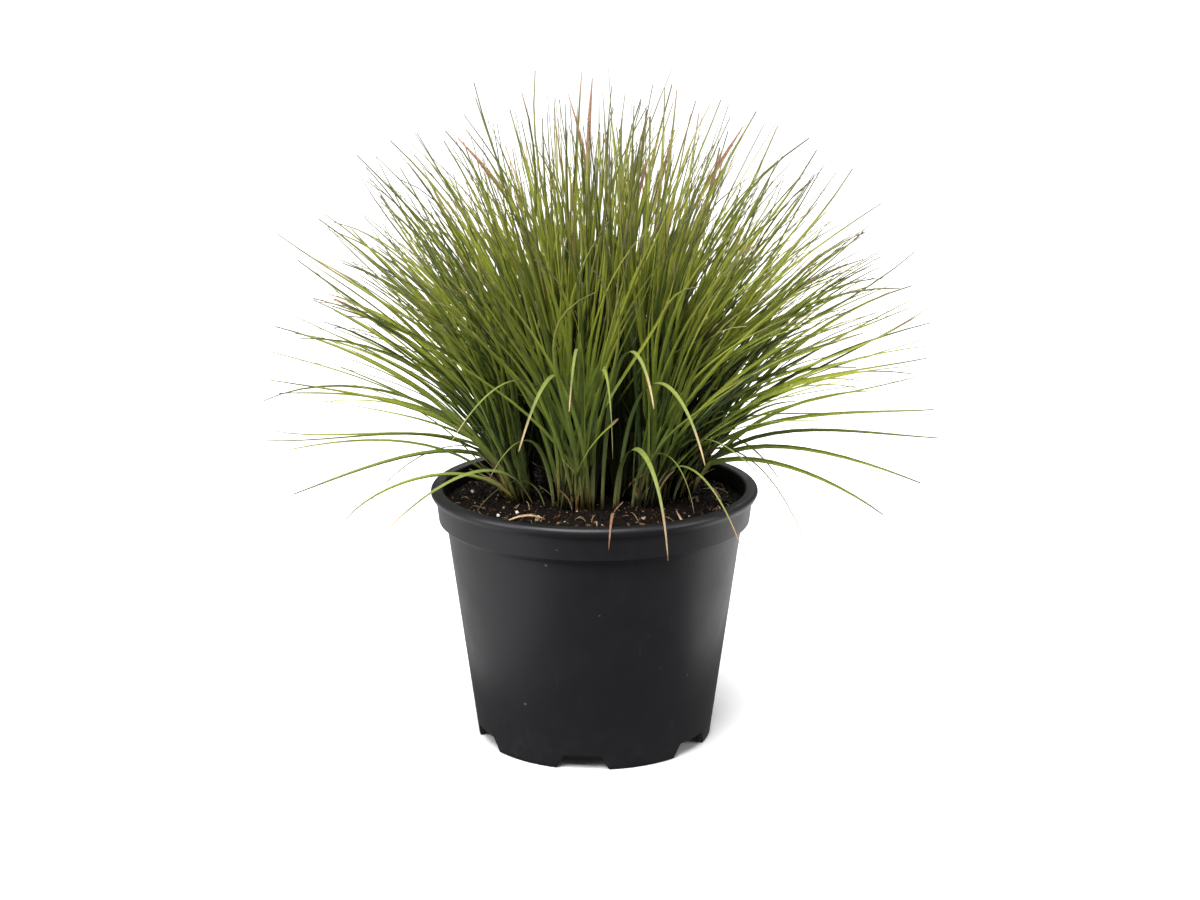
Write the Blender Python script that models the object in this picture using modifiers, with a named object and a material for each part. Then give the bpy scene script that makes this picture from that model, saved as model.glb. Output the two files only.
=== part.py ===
"""Potted ornamental grass clump: a fountain of fine arching leaves in a three-litre nursery pot.

Metres, +Z up. The origin is the centre of the pot's foot on the ground, and -Y is the front.
Each tuft is one solid that starts at its crown in the soil and flares out to its leaf tips.
"""

import math
import random

import bmesh
import bpy
from mathutils import Matrix, Vector, noise

NAME = "potted_grass"
GAP = 0.0003  # between pieces that touch

# Pot
POT_HEIGHT = 0.150
RIM_RADIUS = 0.095
RIM_INNER_RADIUS = 0.0878
RIM_BAND = 0.0058  # height of the rolled rim
RIM_ROLL = 0.0026  # radius of the rim's outer edge
COLLAR_TOP_RADIUS = 0.0918
COLLAR_BOTTOM_RADIUS = 0.0905
COLLAR_BOTTOM = 0.1300
COLLAR_ROUND = 0.0012
SHOULDER_RADIUS = 0.0862  # outside of the wall just under the collar
FOOT_RADIUS = 0.0688
WALL = 0.0020
COLLAR_WALL = 0.0026
FLOOR_UNDERSIDE = 0.0085
FLOOR_THICKNESS = 0.0022
POT_STEPS = 60

# Drainage
NOTCHES = 6
FIRST_NOTCH = math.radians(-95.6)
NOTCH_HEIGHT = 0.0080
NOTCH_TOP_WIDTH = 0.0217
NOTCH_BOTTOM_WIDTH = 0.0305
DRAIN_HOLE_RADIUS = 0.0055
DRAIN_HOLE_CIRCLE = 0.0480
DRAIN_HOLE_SEGMENTS = 16
NOTCH_CUT_DEPTH = 0.026  # of the block that cuts a notch, along the pot's radius
NOTCH_CUT_BELOW = 0.006  # how far that block reaches under the foot

# Soil: level under the crowns, then sloping down to its edge
SOIL_TOP = 0.1415
SOIL_EDGE = 0.1395
SOIL_BEND = (SOIL_TOP + 2 * SOIL_EDGE) / 3  # height at which the slope eases
LEVEL_RADIUS = 0.030
BEND_RADIUS = 0.060
EDGE_RADIUS = 0.082
SOIL_STEPS = 48

# Crowns: an ellipse on the soil that holds every tuft's base
CROWN_CENTRE = Vector((0.001, 0.012))
CROWN_HALF = Vector((0.060, 0.044))

# Leaf tips: a dome round the clump
DOME_CENTRE = Vector((0.002, 0.0, 0.150))
DOME_TOP_REACH = 0.240
DOME_SIDE_REACH = 0.191
DOME_DEPTH = 0.925  # front-to-back size against the width
WIDEST_ANGLE = math.radians(89)  # outermost tips, from straight up
FRONT_UPRIGHTNESS = math.radians(41)  # how much less the front leans
SPREAD_POWER = 0.92  # below 1, leaves near the middle lean out a little more
FIRST_LEAN = 0.50  # lean of a leaf at its base, against its tip's angle on the dome
LAST_LEAN = 1.12
FIRST_REACH = 0.38  # how far a leaf keeps its first lean, against its length
LAST_REACH = 0.34

# Tufts: one in the middle and two rings round it, in shares of the crown's radius
MIDDLE_TUFT = 0.25
RINGS = ((4, 0.46, 0.15, 45.0), (7, 0.83, 0.15, 257.0))  # count, middle, half depth, first angle
RING_FILL = 0.84  # share of the ring that its tufts take up
CROWN_SHARE = 0.50  # a tuft's width at its crown, against further up
FULL_WIDTH_AT = 0.35  # share of its length at which a tuft is at its full width
TUFT_ACROSS = 4
TUFT_ALONG = 7
ROUNDING = 0.55
TIP_NOTCH = 0.24  # how far the dips between the tips go down
PLEAT = 0.16  # depth of the folds between the bundles of leaves in a tuft's sides

# Single leaves, straws and stalks
LEAF_THICKNESS = 0.0006
LEAF_SEGMENTS = 9
STRAW_SEGMENTS = 6
STRAW_SIZE = (0.0016, 0.0009)  # width, thickness
STALK_SIZE = (0.0026, 0.0018)
FORK_SIZE = (0.0016, 0.0012)
STRIP_WIDEST_AT = 0.25  # share of its length
STRIP_FOOT_WIDTH = 0.55  # against its widest
STRIP_TIP_TAPER = 0.9


def reset():
    for thing in list(bpy.data.objects):
        bpy.data.objects.remove(thing, do_unlink=True)


def collection(name):
    group = bpy.data.collections.new(name)
    bpy.context.scene.collection.children.link(group)
    return group


def material(name, colour, roughness):
    made = bpy.data.materials.new(name)
    made.use_nodes = True
    shader = made.node_tree.nodes["Principled BSDF"]
    shader.inputs["Base Color"].default_value = (*colour, 1.0)
    shader.inputs["Roughness"].default_value = roughness
    shader.inputs["Metallic"].default_value = 0.0
    made.diffuse_color = (*colour, 1.0)
    return made


def add_mesh(bm, name, group, finish=None):
    mesh = bpy.data.meshes.new(name)
    bm.to_mesh(mesh)
    bm.free()
    made = bpy.data.objects.new(name, mesh)
    group.objects.link(made)
    if finish:
        mesh.materials.append(finish)
    return made


def turned(name, outline, steps, group, finish):
    """A solid of revolution. The outline is (radius, height) points that run down the outer side."""
    bm = bmesh.new()
    corners = [bm.verts.new((radius, 0.0, height)) for radius, height in outline]
    for first, second in zip(corners, corners[1:]):
        bm.edges.new((first, second))
    made = add_mesh(bm, name, group, finish)
    screw = made.modifiers.new("Turn", "SCREW")
    screw.angle = math.tau
    screw.steps = steps
    screw.render_steps = steps
    screw.use_merge_vertices = True
    screw.merge_threshold = 0.00005
    screw.use_smooth_shade = True
    return made


def arc(centre, radius, start, end, count):
    """Points on an arc in a turned outline, from angle start to angle end in degrees."""
    angles = [math.radians(start + (end - start) * i / (count - 1)) for i in range(count)]
    return [(centre[0] + radius * math.cos(a), centre[1] + radius * math.sin(a)) for a in angles]


def wall_radius(height):
    """Outside radius of the tapering wall between the foot and the collar."""
    return FOOT_RADIUS + (SHOULDER_RADIUS - FOOT_RADIUS) * height / COLLAR_BOTTOM


def pot_outline():
    floor_top = FLOOR_UNDERSIDE + FLOOR_THICKNESS
    shoulder = COLLAR_BOTTOM - WALL
    inner_collar = COLLAR_BOTTOM_RADIUS - COLLAR_WALL
    rim_bottom = POT_HEIGHT - RIM_BAND
    inside = [
        (0.0, floor_top),
        (wall_radius(floor_top) - WALL - 0.002, floor_top),
        (wall_radius(floor_top) - WALL, floor_top + 0.002),
        (wall_radius(shoulder) - WALL, shoulder - 0.0015),
        (inner_collar - 0.0006, shoulder),
        (inner_collar, shoulder + 0.0012),
        (RIM_INNER_RADIUS, POT_HEIGHT - 0.0016),
        (RIM_INNER_RADIUS + 0.0012, POT_HEIGHT - 0.0003),
    ]
    rim = arc((RIM_RADIUS - RIM_ROLL, POT_HEIGHT - RIM_ROLL), RIM_ROLL, 90, -45, 6)
    lip = [
        (RIM_RADIUS - 0.0012, rim_bottom + 0.0003),
        (COLLAR_TOP_RADIUS, rim_bottom - 0.0006),
    ]
    collar_edge = arc(
        (COLLAR_BOTTOM_RADIUS - COLLAR_ROUND, COLLAR_BOTTOM + COLLAR_ROUND), COLLAR_ROUND, 0, -90, 4
    )
    outside = [
        (wall_radius(COLLAR_BOTTOM) + 0.0004, COLLAR_BOTTOM),
        (wall_radius(COLLAR_BOTTOM - 0.001), COLLAR_BOTTOM - 0.001),
        (wall_radius(0.0008), 0.0008),
        (FOOT_RADIUS - 0.0006, 0.0),
        (FOOT_RADIUS - WALL, 0.0),
        (wall_radius(FLOOR_UNDERSIDE) - WALL, FLOOR_UNDERSIDE),
        (0.0, FLOOR_UNDERSIDE),
    ]
    return inside + rim + lip + collar_edge + outside


def around(angle, radius, height=0.0):
    """A place and turn at this angle round the pot's axis."""
    return Matrix.Rotation(angle, 4, "Z") @ Matrix.Translation((radius, 0.0, height))


def drainage_cutter(group):
    """The foot's notches and the floor's holes, each hole just inside a notch."""
    bm = bmesh.new()
    spread = (NOTCH_BOTTOM_WIDTH - NOTCH_TOP_WIDTH) * (1 + NOTCH_CUT_BELOW / NOTCH_HEIGHT)
    for i in range(NOTCHES):
        angle = FIRST_NOTCH + math.tau * i / NOTCHES
        block = bmesh.ops.create_cube(bm, size=1.0)["verts"]
        for corner in block:
            top = corner.co.z > 0
            width = NOTCH_TOP_WIDTH if top else NOTCH_TOP_WIDTH + spread
            height = NOTCH_HEIGHT if top else -NOTCH_CUT_BELOW
            corner.co = Vector((corner.co.x * NOTCH_CUT_DEPTH, corner.co.y * width, height))
        bmesh.ops.transform(bm, matrix=around(angle, FOOT_RADIUS), verts=block)
        bmesh.ops.create_cone(
            bm,
            cap_ends=True,
            segments=DRAIN_HOLE_SEGMENTS,
            radius1=DRAIN_HOLE_RADIUS,
            radius2=DRAIN_HOLE_RADIUS,
            depth=3 * FLOOR_THICKNESS,
            matrix=around(angle, DRAIN_HOLE_CIRCLE, FLOOR_UNDERSIDE + FLOOR_THICKNESS / 2),
        )
    made = add_mesh(bm, "drainage_cutter", group)
    made.hide_render = True
    made.display_type = "WIRE"
    return made


def make_pot(group, cutters):
    plastic = material("pot_plastic", (0.022, 0.022, 0.024), 0.42)
    pot = turned("pot", pot_outline(), POT_STEPS, group, plastic)
    cut = pot.modifiers.new("Drainage", "BOOLEAN")
    cut.operation = "DIFFERENCE"
    cut.solver = "EXACT"
    cut.object = drainage_cutter(cutters)


def make_soil(group):
    """The root ball: it fills the pot and is a little higher under the crowns."""
    floor = FLOOR_UNDERSIDE + FLOOR_THICKNESS + GAP
    shoulder = COLLAR_BOTTOM - WALL
    edge = COLLAR_BOTTOM_RADIUS - COLLAR_WALL - GAP
    outline = [
        (0.0, SOIL_TOP),
        (LEVEL_RADIUS, SOIL_TOP),
        (BEND_RADIUS, SOIL_BEND),
        (edge - 0.006, SOIL_EDGE),
        (edge - 0.0004, SOIL_EDGE - 0.001),
        (edge - 0.0004, shoulder + 0.002),
        (wall_radius(shoulder) - WALL - 2 * GAP, shoulder),
        (wall_radius(floor) - WALL - 2 * GAP, floor + 0.0025),
        (wall_radius(floor) - WALL - 0.003, floor),
        (0.0, floor),
    ]
    soil = material("potting_mix", (0.028, 0.018, 0.012), 0.95)
    turned("potting_soil", outline, SOIL_STEPS, group, soil)


def shaped_block(name, across, along, place, group, finish):
    """A block cut into a grid, each of whose points goes to place(u, v, s).

    u and v run from -1 to 1 across the block, and s from 0 to 1 along it, right-handed."""
    bm = bmesh.new()
    bmesh.ops.create_cube(bm, size=2.0)
    for axis, cuts in enumerate((across[0] - 1, across[1] - 1, along - 1)):
        if cuts > 0:
            edges = [e for e in bm.edges if abs((e.verts[0].co - e.verts[1].co)[axis]) > 1e-6]
            bmesh.ops.subdivide_edges(bm, edges=edges, cuts=cuts, use_grid_fill=True)
    for point in bm.verts:
        point.co = place(point.co.x, point.co.y, (point.co.z + 1) / 2)
    return add_mesh(bm, name, group, finish)


def bezier(points, t):
    a, b, c, d = points
    return a * (1 - t) ** 3 + b * 3 * t * (1 - t) ** 2 + c * 3 * t**2 * (1 - t) + d * t**3


def leaning(lean, angle):
    """The direction that leans this far from straight up, towards this angle round the axis."""
    return Vector((math.sin(lean) * math.cos(angle), math.sin(lean) * math.sin(angle), math.cos(lean)))


def soil_height(x, y):
    """Height of the soil under a crown or a piece that lies on it."""
    radius = math.hypot(x, y)
    if radius < LEVEL_RADIUS:
        return SOIL_TOP
    if radius < BEND_RADIUS:
        return SOIL_TOP + (SOIL_BEND - SOIL_TOP) * (radius - LEVEL_RADIUS) / (BEND_RADIUS - LEVEL_RADIUS)
    slope = min(1.0, (radius - BEND_RADIUS) / (EDGE_RADIUS - BEND_RADIUS))
    return SOIL_BEND + (SOIL_EDGE - SOIL_BEND) * slope


def crown_point(share, angle):
    """A point on the soil, at this share of the crown's radius."""
    x = CROWN_CENTRE.x + CROWN_HALF.x * share * math.cos(angle)
    y = CROWN_CENTRE.y + CROWN_HALF.y * share * math.sin(angle)
    return Vector((x, y, soil_height(x, y) + GAP))


def leaf_course(share, angle):
    """The path of a leaf that grows at this share of the crown's radius, out to its tip on the dome."""
    front = max(0.0, -math.sin(angle)) ** 2
    tip_angle = (WIDEST_ANGLE - FRONT_UPRIGHTNESS * front) * share**SPREAD_POWER
    reach = DOME_TOP_REACH - (DOME_TOP_REACH - DOME_SIDE_REACH) * (tip_angle / (math.pi / 2)) ** 2
    out = leaning(tip_angle, angle) * reach
    foot = crown_point(share, angle)
    tip = DOME_CENTRE + Vector((out.x, out.y * DOME_DEPTH, out.z))
    length = (tip - foot).length
    return (
        foot,
        foot + leaning(FIRST_LEAN * tip_angle, angle) * length * FIRST_REACH,
        tip - leaning(LAST_LEAN * tip_angle, angle) * length * LAST_REACH,
        tip,
    )


def rounded(u, v):
    """A square's point, moved in so that the square's corners are round."""
    return u * math.sqrt(1 - ROUNDING * v * v / 2), v * math.sqrt(1 - ROUNDING * u * u / 2)


def is_dip(u, v):
    """Bundles of leaves and the dips between them take turns across a tuft."""
    return round((u + 1) / 2 * TUFT_ACROSS + (v + 1) / 2 * TUFT_ACROSS) % 2 == 1


def crown_width(s):
    """A tuft is narrow at its crown and reaches its full width a third of the way up."""
    t = min(1.0, s / FULL_WIDTH_AT)
    return CROWN_SHARE + (1 - CROWN_SHARE) * t * t * (3 - 2 * t)


def make_tuft(name, spot, group, finish):
    """A tuft. spot(u, v) gives the share and angle of a point across it."""

    def place(u, v, s):
        dip = is_dip(u, v)
        along = s * (1 - TIP_NOTCH * s * s) if dip else s
        width = crown_width(s) * (1 - PLEAT * s) if dip else crown_width(s)
        across = rounded(u, v)
        share, angle = spot(across[0] * width, across[1] * width)
        return bezier(leaf_course(share, angle), along)

    return shaped_block(name, (TUFT_ACROSS, TUFT_ACROSS), TUFT_ALONG, place, group, finish)


def make_tufts(group):
    green = material("leaf_green", (0.125, 0.165, 0.035), 0.50)

    def middle(u, v):
        return MIDDLE_TUFT * math.hypot(u, v), math.atan2(v, u)

    make_tuft("tuft_middle", middle, group, green)
    for ring, (count, share, half_depth, first) in zip(("inner", "outer"), RINGS):
        half_angle = math.pi / count * RING_FILL
        for i in range(count):
            heading = math.radians(first) + math.tau * i / count

            def spot(u, v, heading=heading, share=share, half_depth=half_depth, half_angle=half_angle):
                return share + u * half_depth, heading + v * half_angle

            make_tuft(f"tuft_{ring}_{i + 1}", spot, group, green)


def strip_taper(s):
    """A strip's width against its widest: full a quarter of the way along, and least at its tip."""
    if s < STRIP_WIDEST_AT:
        return STRIP_FOOT_WIDTH + (1 - STRIP_FOOT_WIDTH) * s / STRIP_WIDEST_AT
    return 1 - STRIP_TIP_TAPER * ((s - STRIP_WIDEST_AT) / (1 - STRIP_WIDEST_AT)) ** 1.6


def make_strip(name, course, width, thickness, segments, group, finish):
    """A long thin piece along a course."""

    def place(u, v, s):
        middle = bezier(course, s)
        ahead = (bezier(course, min(1.0, s + 0.02)) - bezier(course, max(0.0, s - 0.02))).normalized()
        side = ahead.cross(Vector((0.0, 0.0, 1.0)))
        side = side.normalized() if side.length > 0.05 else Vector((1.0, 0.0, 0.0))
        face = ahead.cross(side)
        taper = strip_taper(s)
        return middle + side * (u * width / 2 * taper) + face * (v * thickness / 2 * taper**0.3)

    return shaped_block(name, (1, 1), segments, place, group, finish)


# Each leaf that leaves the mass: angle of its foot round the crown, tip, rise of its arch, width.
DROOPING_LEAVES = (
    (-75.0, (0.040, -0.107, 0.136), 0.054, 0.0034),
    (-64.0, (0.055, -0.074, 0.153), 0.046, 0.0030),
    (-50.0, (0.084, -0.076, 0.126), 0.036, 0.0024),
    (-91.0, (0.010, -0.128, 0.198), 0.098, 0.0034),
    (-84.0, (0.031, -0.142, 0.228), 0.106, 0.0030),
    (-69.0, (0.058, -0.134, 0.196), 0.086, 0.0032),
    (-103.0, (-0.039, -0.132, 0.203), 0.088, 0.0032),
    (-119.0, (-0.074, -0.132, 0.208), 0.074, 0.0028),
    (-111.0, (-0.056, -0.090, 0.178), 0.054, 0.0026),
    (-145.0, (-0.118, -0.044, 0.134), 0.026, 0.0028),
    (-129.0, (-0.067, -0.030, 0.1420), 0.020, 0.0024),
    (-24.0, (0.126, -0.052, 0.110), 0.044, 0.0028),
    (-37.0, (0.092, -0.116, 0.182), 0.053, 0.0028),
    (-97.0, (-0.012, -0.181, 0.236), 0.096, 0.0028),
    (38.0, (0.114, 0.088, 0.130), 0.0225, 0.0028),
    (82.0, (0.020, 0.146, 0.124), 0.0225, 0.0030),
    (118.0, (-0.074, 0.130, 0.132), 0.0220, 0.0026),
    (158.0, (-0.134, 0.046, 0.128), 0.0225, 0.0028),
)
LEAF_FOOT = 1.16  # share of the crown's radius at which these leaves grow


def make_drooping_leaves(group):
    """Single leaves that grow at the clump's edge, arch over and hang down past the rim."""
    green = material("bent_leaf_green", (0.190, 0.225, 0.060), 0.50)
    for i, (angle, tip, rise, width) in enumerate(DROOPING_LEAVES):
        foot = crown_point(LEAF_FOOT, math.radians(angle))
        end = Vector(tip)
        flat = Vector((end.x - foot.x, end.y - foot.y, 0.0))
        course = (
            foot,
            foot + flat * 0.42 + Vector((0.0, 0.0, rise * 0.85)),
            foot + flat * 0.88 + Vector((0.0, 0.0, rise * 1.50)),
            end,
        )
        make_strip(f"drooping_leaf_{i + 1:02d}", course, width, LEAF_THICKNESS, LEAF_SEGMENTS, group, green)


def lying(points, lift):
    """A course of four points that lie on the soil, with its middle two raised by lift."""
    lifts = (0.0, lift, lift, 0.0)
    return [Vector((x, y, soil_height(x, y) + 0.0011 + up)) for (x, y), up in zip(points, lifts)]


def make_litter(group):
    """Dead leaves on the soil and a forked dead stalk that hangs over the front of the rim."""
    straw = material("dry_straw", (0.48, 0.36, 0.22), 0.70)
    for i, points in enumerate(
        (
            ((-0.050, -0.050), (-0.043, -0.049), (-0.035, -0.046), (-0.028, -0.045)),
            ((0.050, -0.052), (0.047, -0.046), (0.046, -0.038), (0.047, -0.031)),
            ((0.064, 0.020), (0.068, 0.014), (0.072, 0.006), (0.074, -0.003)),
        )
    ):
        make_strip(f"dead_leaf_{i + 1}", lying(points, 0.004), *STRAW_SIZE, STRAW_SEGMENTS, group, straw)
    stalk = material("dead_stalk_brown", (0.30, 0.13, 0.07), 0.75)
    over_rim = (
        Vector((0.0112, -0.0560, 0.1450)),
        Vector((0.0106, -0.0760, 0.1580)),
        Vector((0.0092, -0.0980, 0.1580)),
        Vector((0.0080, -0.1010, 0.1400)),
    )
    make_strip("dead_stalk", over_rim, *STALK_SIZE, STRAW_SEGMENTS, group, stalk)
    fork = (
        Vector((0.0126, -0.0700, 0.1548)),
        Vector((0.0136, -0.0705, 0.1556)),
        Vector((0.0148, -0.0700, 0.1568)),
        Vector((0.0160, -0.0690, 0.1585)),
    )
    make_strip("dead_stalk_fork", fork, *FORK_SIZE, STRAW_SEGMENTS, group, stalk)


def make_grain(name, spot, size, seed, group, finish):
    """A small lump that rests on the soil."""
    bm = bmesh.new()
    bmesh.ops.create_icosphere(bm, subdivisions=1, radius=1.0)
    for point in bm.verts:
        bump = 1 + 0.18 * noise.noise(point.co * 1.5 + Vector((seed, 0.0, 0.0)))
        point.co = Vector((point.co.x * size[0], point.co.y * size[1], point.co.z * size[2])) * bump / 2
    low = min(point.co.z for point in bm.verts)
    lift = soil_height(*spot) + GAP - low
    bmesh.ops.translate(bm, verts=bm.verts, vec=(spot[0], spot[1], lift))
    bmesh.ops.rotate(
        bm,
        verts=bm.verts,
        cent=(spot[0], spot[1], 0.0),
        matrix=Matrix.Rotation(random.uniform(0, math.tau), 3, "Z"),
    )
    return add_mesh(bm, name, group, finish)


def make_grains(group):
    random.seed(5)
    perlite = material("perlite_white", (0.80, 0.79, 0.76), 0.85)
    for i, (spot, size) in enumerate(
        (
            ((-0.0440, -0.0300), (0.0021, 0.0019, 0.0017)),
            ((-0.0545, -0.0340), (0.0018, 0.0017, 0.0015)),
            ((-0.0720, 0.0180), (0.0019, 0.0020, 0.0016)),
            ((0.0250, 0.0680), (0.0022, 0.0018, 0.0017)),
        )
    ):
        make_grain(f"perlite_grain_{i + 1}", spot, size, i * 3.0, group, perlite)
    husk = material("husk_yellow", (0.56, 0.47, 0.22), 0.70)
    make_grain("seed_husk", (-0.0320, -0.0440), (0.0026, 0.0042, 0.0016), 20.0, group, husk)


def build():
    reset()
    parts = collection(NAME)
    cutters = collection("cutters")
    make_pot(parts, cutters)
    make_soil(parts)
    make_tufts(parts)
    make_drooping_leaves(parts)
    make_litter(parts)
    make_grains(parts)


build()
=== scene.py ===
"""Looks of the potted ornamental grass clump: arching leaves, potting mix and a black nursery pot.

Metres, +Z up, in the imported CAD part's frame: the origin is the centre of the pot's foot and -Y is
the front. Leaves follow the same flow from crown to tip as the CAD part's tufts, one mesh a tuft.
"""

import math
from collections import namedtuple

import bmesh
import bpy
import numpy as np
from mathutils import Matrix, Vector, noise


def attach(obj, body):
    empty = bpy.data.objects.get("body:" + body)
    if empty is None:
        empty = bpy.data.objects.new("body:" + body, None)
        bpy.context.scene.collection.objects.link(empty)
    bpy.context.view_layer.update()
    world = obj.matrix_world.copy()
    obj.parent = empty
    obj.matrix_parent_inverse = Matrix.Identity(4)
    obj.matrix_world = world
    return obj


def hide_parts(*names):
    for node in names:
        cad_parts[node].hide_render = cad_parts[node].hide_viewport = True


# Pot, as in the CAD part
POT_HEIGHT = 0.150
RIM_RADIUS = 0.095
RIM_INNER_RADIUS = 0.0878
RIM_BAND = 0.0058
RIM_ROLL = 0.0026
COLLAR_TOP_RADIUS = 0.0918
COLLAR_BOTTOM_RADIUS = 0.0905
COLLAR_BOTTOM = 0.1300
COLLAR_ROUND = 0.0012
SHOULDER_RADIUS = 0.0862
FOOT_RADIUS = 0.0688
WALL = 0.0020
COLLAR_WALL = 0.0026
FLOOR_UNDERSIDE = 0.0085
FLOOR_TOP = 0.0107
NOTCHES = 6
FIRST_NOTCH = math.radians(-95.6)
NOTCH_HEIGHT = 0.0080
NOTCH_TOP_WIDTH = 0.0217
NOTCH_BOTTOM_WIDTH = 0.0305
DRAIN_HOLE_RADIUS = 0.0055
DRAIN_HOLE_CIRCLE = 0.0480
DRILL_DEPTH = 0.006
POT_STEPS = 192
FOOT_ZONE = 0.020  # height of the wall's lowest part, whose rings rise over the notches
FOOT_BEND = 0.0007  # radius of the foot's edges
NOTCH_END_STEPS = 9
LEAST_STEP = 0.0015  # between headings, in radians
POLE_RADIUS = 0.0003  # of the caps that close a turned shape on its axis

# Potting mix, as in the CAD part
SOIL_TOP = 0.1415
SOIL_EDGE = 0.1395
SOIL_RADIUS = 0.0872
SOIL_SLOPE = (0.02, 0.082)  # radii between which it slopes down
SOIL_GAP = 0.0006  # between the root ball and the pot's wall
SOIL_STEPS = 220
SOIL_RINGS = 90
PEAT_CRUMBS = 5200
BARK_CHIPS = 420
ROOT_FIBRES = 60

# Crowns and the dome of leaf tips, as in the CAD part
CROWN_CENTRE = np.array((0.001, 0.012))
CROWN_HALF = np.array((0.060, 0.044))
DOME_CENTRE = np.array((0.002, 0.0, 0.150))
DOME_TOP_REACH = 0.240
DOME_SIDE_REACH = 0.191
DOME_DEPTH = 0.925
WIDEST_ANGLE = math.radians(89)
FRONT_UPRIGHTNESS = math.radians(41)
SPREAD_POWER = 0.92

# Tufts: name, how many, crown's share of the clump's radius, first heading, leaves in each,
# middle and half spread of its tips' share of the dome
TUFT_RINGS = (
    ("middle", 1, 0.00, 0.0, 130, 0.17, 0.17),
    ("inner", 4, 0.46, 45.0, 185, 0.40, 0.28),
    ("outer", 7, 0.83, 257.0, 108, 0.62, 0.36),
)
MIDDLE_TIPS = 0.22  # the middle tuft's tips reach out to this share of the dome
INNER_TIPS = 0.58
MIDDLE_CROWN = 0.20
CROWN_HALF_DEPTH = 0.15
RING_FILL = 0.84
FEET_DEPTH = 0.75  # part of a tuft's room on the soil that its leaves grow in: across the ring
FEET_BREADTH = 0.62  # and along it
FIRST_SEED = 100

# How leaves arch: lean at the foot and at the tip against the tip's place on the dome, share of the
# length that keeps it, and how far lean and heading stray
FIRST_LEAN = 0.36
LAST_LEAN = 1.24
FIRST_REACH = 0.38
LAST_REACH = 0.34
FOOT_STRAY = (0.20, 0.18)  # share of the lean, heading in radians
TIP_STRAY = (0.16, 0.26)  # both in radians

# Where leaves end, against the dome
LONG_LEAVES = 0.66  # share of a tuft's leaves
LOW_LEAN = math.radians(58)
LIFTED_LEAVES = 0.66  # share of those past LOW_LEAN, which stay more upright
LIFTED_LEAN = (0.50, 0.88)  # against the lean they would have
LONG_REACH = 0.74
LOW_REACH = 0.84
SHORT_REACH = (0.38, 0.64)
LONG_STRAY = 0.22  # of the heading, in radians
SHORT_STRAY = 0.36

# Leaves
STATIONS = 15
SIDES = 4
LEAF_WIDTH = (0.0014, 0.0026)
LONGEST_LEAF_WIDTH = (0.0021, 0.0027)
RUSTY_LEAF_WIDTH = 0.0026
FOLD = 0.45  # how far a leaf's edges stand up from its midrib, against its half width
LEAF_THICKNESS = 0.00025
FULL_WIDTH_AT = 0.2  # share of its length
TIP_WIDTH = 0.25  # added all along its profile
NEVER_DEAD = 1.06  # a leaf's dead part starts past its tip

# Shade inside the clump: how far up a leaf it goes, from the clump's edge to its middle
SHADE_TO = (0.10, 0.74)
SHADE_EDGE = (0.43, 0.88)  # shares of the crown's radius between which it changes
SHORT_LEAF_SHADE = (0.85, 1.3)
SHADE_FADE = 0.35  # share of a leaf over which it fades
LEAST_SHADE = 0.35  # its strength is this plus how far up it goes

# Short dead leaves low down in each tuft
THATCH = 10
THATCH_LEAN = (math.radians(8), math.radians(52))
THATCH_LENGTH = (0.016, 0.046)
THATCH_WIDTH = 0.45  # against other leaves

# Tips, (x, z) near the plane y = 0, of the longest leaves, which make the clump's outline
LONGEST_LEAVES = (
    (-0.032, 0.390), (0.043, 0.382), (-0.068, 0.380), (0.091, 0.365), (-0.112, 0.352), (0.120, 0.351),
    (-0.133, 0.341), (0.143, 0.336), (0.164, 0.312), (-0.176, 0.300), (0.180, 0.268), (0.192, 0.245),
    (-0.182, 0.244), (-0.192, 0.198), (0.198, 0.191), (-0.190, 0.175), (0.188, 0.154), (-0.177, 0.141),
    (0.170, 0.128), (-0.144, 0.132),
)
# Tips of the leaves that have died back to a rusty brown, (x, y, z)
RUSTY_LEAVES = (
    (-0.001, 0.000, 0.384), (-0.015, 0.010, 0.375), (0.008, -0.020, 0.364), (0.032, 0.020, 0.342),
    (0.046, 0.030, 0.352), (0.084, 0.010, 0.356), (0.073, 0.030, 0.340), (-0.076, -0.010, 0.352),
    (-0.011, -0.060, 0.318), (0.013, -0.110, 0.215), (-0.030, -0.080, 0.300),
)

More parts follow.
